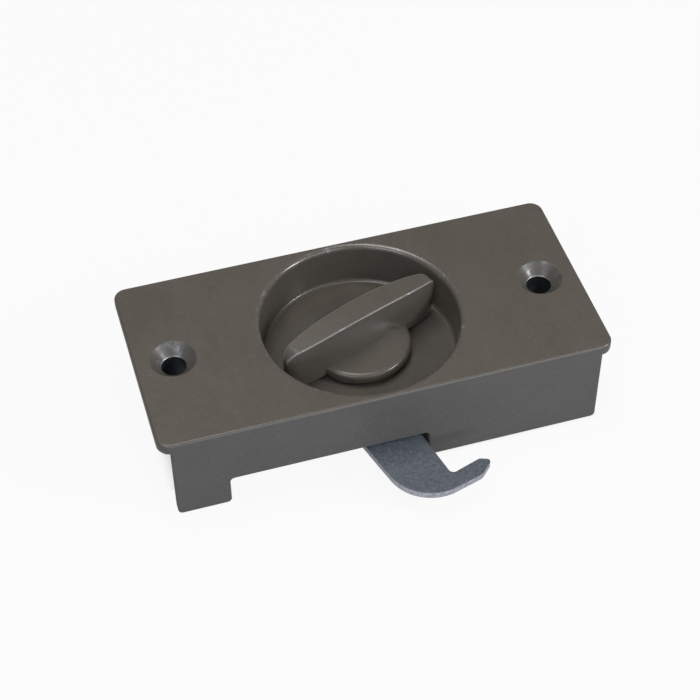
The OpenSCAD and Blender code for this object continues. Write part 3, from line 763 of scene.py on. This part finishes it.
# The pieces made here, and the bodies that they move with
casting = build_casting([paint, paint_edges_rubbed_and_highlight, sink, hole_wall_painted_shade, bare_ring, paint_lip, wall_paint_with_painted_cool_light])
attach(casting, "case")
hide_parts("housing")

knob = build_knob([knob_paint, knob_edges_rubbed_and_highlight])
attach(knob, "turning_parts")
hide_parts("turn_knob")

hook = build_hook([hook_face, hook_edge])
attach(hook, "turning_parts")
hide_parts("hook")

# The solids that show as they are
node_finishes = {
    "spindle": turned_rod, "spindle_bush": acetal, "wave_washer": blue_spring,
    "detent_cam": cam_cast, "detent_spring": blue_spring, "spring_pin_left": bright_pin,
    "spring_pin_right": bright_pin, "bearing_plate": plate_zinc,
    "plate_screw_front": screw_zinc, "plate_screw_back": screw_zinc,
    "plate_screw_left": screw_zinc, "stop_pin_locked": bright_pin,
    "stop_pin_open": bright_pin, "shim_washer": plate_zinc, "retaining_clip": black_clip,
}
for name, finish in node_finishes.items():
    slots = nodes[name].material_slots
    if len(slots) == 0:
        nodes[name].data.materials.append(finish)
    for slot in slots:
        slot.material = finish


# Floor, world, lamps and camera, all in metres

def floor_finish():
    """Pale floor that is white in the picture where it lies open; below the latch its glow is
    taken away, so that it is darker there, painted shade on top of the real shadow that it keeps.
    """
    material = bpy.data.materials.new("floor")
    material.use_nodes = True
    tree = material.node_tree
    tree.nodes.remove(tree.nodes["Principled BSDF"])
    pale = add_node(tree, "ShaderNodeBsdfDiffuse", {"Color": (0.34, 0.34, 0.35, 1)})
    glow = add_node(tree, "ShaderNodeEmission", {"Color": (1, 1, 1, 1), "Strength": 1.07})
    path = add_node(tree, "ShaderNodeLightPath").outputs
    mirrored = calc(tree, "MULTIPLY", path["Is Glossy Ray"], 0.15)
    seen = calc(tree, "MAXIMUM", path["Is Camera Ray"], mirrored)
    seen = calc(tree, "MAXIMUM", seen, path["Is Transmission Ray"])
    spot = split(tree, add_node(tree, "ShaderNodeTexCoord").outputs["Object"])
    beside = spread(tree, calc(tree, "ABSOLUTE", spot["X"]), 0.034, 0.041)
    across = calc(tree, "ABSOLUTE", spot["Y"])
    outside = spread(tree, across, 0.012, 0.0145)
    past_wall = spread(tree, across, 0.0165, 0.0205)
    left_of_hook = spread(tree, spot["X"], 0.0, -0.003)
    at_hook = calc(tree, "MAXIMUM", past_wall, left_of_hook)
    outside = calc(tree, "MINIMUM", outside, at_hook)
    # Below the latch the floor's glow is left out, a painted shade over the real shadow there
    open_floor = calc(tree, "MAXIMUM", beside, outside)
    share = calc(tree, "MULTIPLY", calc(tree, "MULTIPLY", seen, open_floor), 0.86)
    mix = {0: share, 1: pale.outputs[0], 2: glow.outputs[0]}
    mix = add_node(tree, "ShaderNodeMixShader", mix).outputs[0]
    tree.links.new(mix, tree.nodes["Material Output"].inputs["Surface"])
    return material


def studio_world():
    """Soft light from all round, and a white background for what the camera sees."""
    world = bpy.data.worlds.new("studio")
    world.use_nodes = True
    tree = world.node_tree
    back = tree.nodes["Background"]
    back.inputs["Color"].default_value = (1.0, 0.99, 0.97, 1)
    path = add_node(tree, "ShaderNodeLightPath").outputs
    seen = calc(tree, "MAXIMUM", path["Is Camera Ray"], path["Is Transmission Ray"])
    level = calc(tree, "ADD", calc(tree, "MULTIPLY", seen, 0.77), 0.23)
    tree.links.new(level, back.inputs["Strength"])
    return world


def lamp(name, direction, distance, size, power, colour):
    """A soft box that stands in a direction from the latch and faces it."""
    data = bpy.data.lights.new(name, "AREA")
    data.shape = "RECTANGLE"
    data.size, data.size_y = size
    data.energy = power
    data.color = colour
    made = bpy.data.objects.new(name, data)
    made.location = Vector(direction).normalized() * distance
    made.rotation_euler = Vector(direction).to_track_quat("Z", "Y").to_euler()
    bpy.context.scene.collection.objects.link(made)


deselect_all()
bpy.ops.mesh.primitive_plane_add(size=4, location=(0, 0, -0.01706))
floor = bpy.context.object
floor.name = "floor"
floor.data.materials.append(floor_finish())
bpy.context.scene.world = studio_world()

lamp("right_box", (0.72, -0.46, 0.52), 0.62, (0.13, 0.13), 1.65, (1.0, 0.99, 1.0))
lamp("left_box", (-0.55, -0.52, 0.62), 0.62, (0.34, 0.34), 1.10, (0.83, 0.90, 1.0))
lamp("front_box", (0.25, -0.80, 0.50), 0.70, (0.30, 0.30), 0.75, (0.88, 0.93, 1.0))
lamp("low_box", (0.10, -1.00, 0.10), 0.70, (0.50, 0.13), 1.45, (0.76, 0.81, 1.0))
lamp("high_box", (-0.12, 0.15, 0.97), 0.70, (0.34, 0.34), 2.20, (1.0, 0.965, 0.90))

# The camera stands where the photograph was taken from
camera_data = bpy.data.cameras.new("camera")
camera_data.lens = 93.451
camera_data.sensor_width = 36.0
camera_data.clip_start = 0.01
camera_data.clip_end = 10.0
camera = bpy.data.objects.new("camera", camera_data)
camera.location = (-0.064755, -0.218569, 0.243188)
camera.rotation_euler = [math.radians(a) for a in (42.3495, 0.4595, -16.5389)]
bpy.context.scene.collection.objects.link(camera)
bpy.context.scene.camera = camera
bpy.context.scene.view_settings.view_transform = "Standard"
